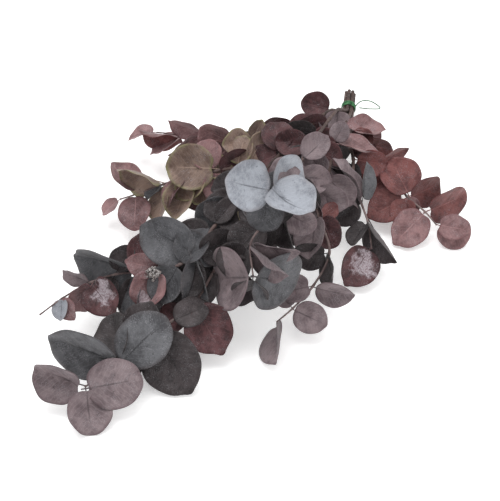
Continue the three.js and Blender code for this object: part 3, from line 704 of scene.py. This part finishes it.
# ---- Stems ------------------------------------------------------------------------------------------
def smooth_route(points, step):
    """A centripetal Catmull-Rom curve through the points, as (place, share of the way)."""
    ends = [points[0] * 2 - points[1]] + list(points) + [points[-1] * 2 - points[-2]]
    spans = len(points) - 1
    route = []
    for i in range(spans):
        p0, p1, p2, p3 = ends[i:i + 4]
        t0, t1, t2 = ((b - a).length ** 0.5 for a, b in ((p0, p1), (p1, p2), (p2, p3)))
        out = ((p1 - p0) / t0 - (p2 - p0) / (t0 + t1) + (p2 - p1) / t1) * t1
        into = ((p2 - p1) / t1 - (p3 - p1) / (t1 + t2) + (p3 - p2) / t2) * t1
        parts = max(1, math.ceil((p2 - p1).length / step))
        for k in range(parts + (i == spans - 1)):
            u = k / parts
            place = (p1 * (2 * u**3 - 3 * u**2 + 1) + out * (u**3 - 2 * u**2 + u)
                     + p2 * (3 * u**2 - 2 * u**3) + into * (u**3 - u**2))
            route.append((place, (i + u) / spans))
    return route


bundle_side = bundle_axis.cross(Vector((0, 0, 1))).normalized()
bundle_up = bundle_side.cross(bundle_axis)
RING_R = (2 * STEM_R + GAP) / (2 * math.sin(math.pi / BUNDLE_STEMS))


def bundle_offset(place):
    if place == 0:
        return Vector((0, 0, 0))
    a = 2 * math.pi * (place - 1) / BUNDLE_STEMS
    return bundle_side * (RING_R * math.cos(a)) + bundle_up * (RING_R * math.sin(a))


def taper(t, thick):
    return thick + (TWIG_R - thick) * t**1.5


def buds(name, middle, reach, stem, seed):
    """A crusty cluster of small dried buds, each a crumpled lump on the next."""
    rng = random.Random(seed)
    points, faces, dust = [], [], []
    for _ in range(BUD_COUNT):
        way = Vector((rng.gauss(0, 1), rng.gauss(0, 1), rng.gauss(0, 0.7))).normalized()
        centre = middle + SHOW_TOWARD * 6 + way * reach * rng.uniform(0.2, 1.0)
        radius = rng.uniform(1.0, 2.2)
        shell = bmesh.new()
        bmesh.ops.create_icosphere(shell, subdivisions=2, radius=1.0)
        shell.verts.index_update()
        phase = Vector((rng.uniform(0, 9), rng.uniform(0, 9), rng.uniform(0, 9)))
        start = len(points)
        for vert in shell.verts:
            lump = 1 + 0.7 * noise.noise(vert.co * 1.6 + phase) + 0.3 * noise.noise(vert.co * 4 + phase)
            points.append(centre + vert.co * radius * lump)
            dust.append(rng.uniform(0, 1))
        faces += [tuple(v.index + start for v in f.verts) for f in shell.faces]
        shell.free()
    piece = add_mesh(name, [tuple(p) for p in points], faces, BUD_MATERIAL, {"dust": dust})
    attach(piece, "root")
    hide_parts(stem)


def grow_limb(stem, label, joints, lead, thick, seed):
    """One stem: its bark, with a knuckle at each joint, and the small leaves on it."""
    rng = random.Random(seed)
    control = [p + TO_TABLE for p in lead + [joint for joint, _ in joints]]
    route = smooth_route(control, 3.0)
    knuckles = [len(lead) + i for i in range(len(joints))]
    spans = len(control) - 1
    radii = []
    for place, t in route:
        swell = sum(KNUCKLE * math.exp(-((t * spans - k) * 14) ** 2) for k in knuckles)
        radii.append(taper(t, thick) * (1 + swell) * (1 + 0.04 * math.sin(t * 130 + seed)))
    points, faces = tube([place for place, _ in route], radii, 10)
    along = [t for _, t in route for _ in range(10)] + [0.0, 1.0]
    cut = [0.0] * len(points)
    if lead:
        cut[-2] = 1.0
    bark = add_mesh(f"{label}_bark", points, faces, STEM_MATERIAL, {"along": along, "cut": cut})
    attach(bark, "root")
    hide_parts(stem)
    first = len(lead)
    for i, (joint, leaves) in enumerate(joints):
        ahead = (control[min(first + i + 1, spans)] - control[max(first + i - 1, 0)]).normalized()
        radius = taper((first + i) / spans, thick)
        for k, spec in enumerate(leaves):
            axes = show_axes(spec["points"], spec["lean"], spec["twist"])
            aside = (axes[0] - ahead * axes[0].dot(ahead)).normalized()
            stalk = STALK * spec["size"] / STALK_BLADE
            base = joint + TO_TABLE + aside * radius * 0.3 + axes[0] * stalk
            if spec["dye"] == "silver" and spec["size"] < BUDS_BELOW:
                buds(f"{label}_buds_{i}", base + axes[0] * spec["size"] * 0.4, spec["size"] * 0.45, stem,
                     seed=rng.randrange(10**6))
                continue
            leaf(f"{label}_sprout_{i}_{k}", base, axes, spec["size"], spec["dye"], stem,
                 seed=rng.randrange(10**6), fold=spec["fold"] + rng.uniform(-4, 16),
                 curl=spec["curl"] + rng.uniform(-6, 20))


def grow_stems():
    past = TIE - bundle_axis * 14
    for seed, (stem, joints) in enumerate(STEMS.items()):
        offset = bundle_offset(SLOTS[stem])
        grow_limb(stem, stem, joints, [CUT_END + offset, TIE + offset, past + offset], STEM_R, seed + 1)
    grow_limb("stem_centre", "twig_top", TOP_TWIG, [], TOP_TWIG_R, 20)


# ---- The wire tie -------------------------------------------------------------------------------------
def wind_tie():
    coil = RING_R + STEM_R + WIRE_R + GAP
    per_turn = 14
    points = []
    for i in range(WIRE_TURNS * per_turn + 1):
        a = 2 * math.pi * i / per_turn
        points.append(TIE + bundle_axis * (i / per_turn - WIRE_TURNS / 2) * WIRE_PITCH
                      + bundle_side * coil * math.cos(a) + bundle_up * coil * math.sin(a))
    start = points[-1]
    loop = ((0.2, 4, 7), (0.6, 3, 9), (1, -5, 4), (0.6, -6, 2), (0.16, -4, 1))
    points += [start + bundle_side * out * LOOP_REACH + bundle_axis * along + bundle_up * up
               for out, along, up in loop]
    route = [place for place, _ in smooth_route([p + TO_TABLE for p in points], 1.5)]
    body, faces = tube(route, [WIRE_R * WIRE_COAT] * len(route), 8)
    wire = add_mesh("tie_wire_coil", body, faces, WIRE_MATERIAL, {})
    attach(wire, "root")
    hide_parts("tie_wire")


grow_cad_leaves()
grow_stems()
wind_tie()


# ---- Table, light and camera ----------------------------------------------------------------------------
def set_stage():
    bpy.ops.mesh.primitive_plane_add(size=TABLE_SIDE, location=(0, 0, -0.0004))
    table = bpy.context.object
    table.name = "table"
    table.data.materials.append(table_material())

    world = bpy.data.worlds.new("studio")
    bpy.context.scene.world = world
    world.use_nodes = True
    background = world.node_tree.nodes["Background"]
    background.inputs["Color"].default_value = (1.0, 1.0, 1.0, 1.0)
    background.inputs["Strength"].default_value = SKY_LIGHT

    def lamp(name, place, size, watts):
        light = bpy.data.lights.new(name, "AREA")
        light.shape = "DISK"
        light.size = size
        light.energy = watts
        lit = bpy.data.objects.new(name, light)
        bpy.context.collection.objects.link(lit)
        lit.location = place
        lit.rotation_euler = (Vector((0, 0, 0.05)) - Vector(place)).to_track_quat("-Z", "Y").to_euler()

    lamp("key", (-0.5, 0.3, 2.3), 1.8, KEY_WATTS)
    lamp("fill", (1.5, -1.4, 1.6), 2.0, FILL_WATTS)
    settings = bpy.context.scene.view_settings
    settings.view_transform = "Standard"
    settings.look = "None"


def set_camera():
    camera = bpy.data.cameras.new("camera")
    camera.lens = LENS
    camera.sensor_width = SENSOR
    camera.clip_start = 0.01
    view = bpy.data.objects.new("camera", camera)
    bpy.context.collection.objects.link(view)
    view.location = CAMERA_TARGET * MM + SHOW_TOWARD * CAMERA_DISTANCE
    view.rotation_euler = (-SHOW_TOWARD).to_track_quat("-Z", "Y").to_euler()
    bpy.context.scene.camera = view


set_stage()
set_camera()
